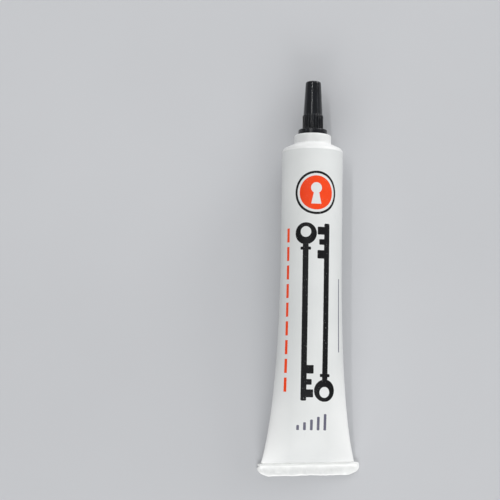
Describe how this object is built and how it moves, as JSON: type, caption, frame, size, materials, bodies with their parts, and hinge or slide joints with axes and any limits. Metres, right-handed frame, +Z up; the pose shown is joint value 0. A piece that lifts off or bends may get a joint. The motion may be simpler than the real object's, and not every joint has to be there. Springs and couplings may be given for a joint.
{
  "type": "graphite lubricant squeeze tube",
  "caption": "White plastic squeeze tube of graphite powder for locks, round at the neck and heat-sealed flat at the foot, with a slim black nozzle under a ribbed screw cap.",
  "frame": {"origin": "on the surface that the tube lies on, under the middle of its length and width", "axes": "+Y along the tube from the end seal to the cap, +X across the end seal, +Z up out of the printed front"},
  "size_m": [0.0368, 0.143, 0.022],
  "materials": {
    "printed_sleeve": "satin",
    "white_head": "satin",
    "black_nozzle": "satin",
    "black_cap": "gloss",
    "soft_disc": "matte",
    "graphite": "matte"
  },
  "bodies": {
    "tube": {"sleeve": "printed_sleeve", "head": "white_head", "nozzle": "black_nozzle", "graphite_charge": "graphite"},
    "wad": {"cap_wad": "soft_disc"},
    "cap": {"cap": "black_cap"}
  },
  "joints": [
    {"name": "cap_lift", "type": "slide", "parent": "tube", "child": "wad", "axis": [0, 1, 0], "range_m": [0, 0.021]},
    {"name": "cap_turn", "type": "hinge", "parent": "wad", "child": "cap", "pos_m": [0, 0.0537, 0.011], "axis": [0, 1, 0], "range_deg": [0, 2540]}
  ],
  "couplings": [
    {"joint": "cap_turn", "follows": "cap_lift", "rad_per_m": 2094.4}
  ]
}
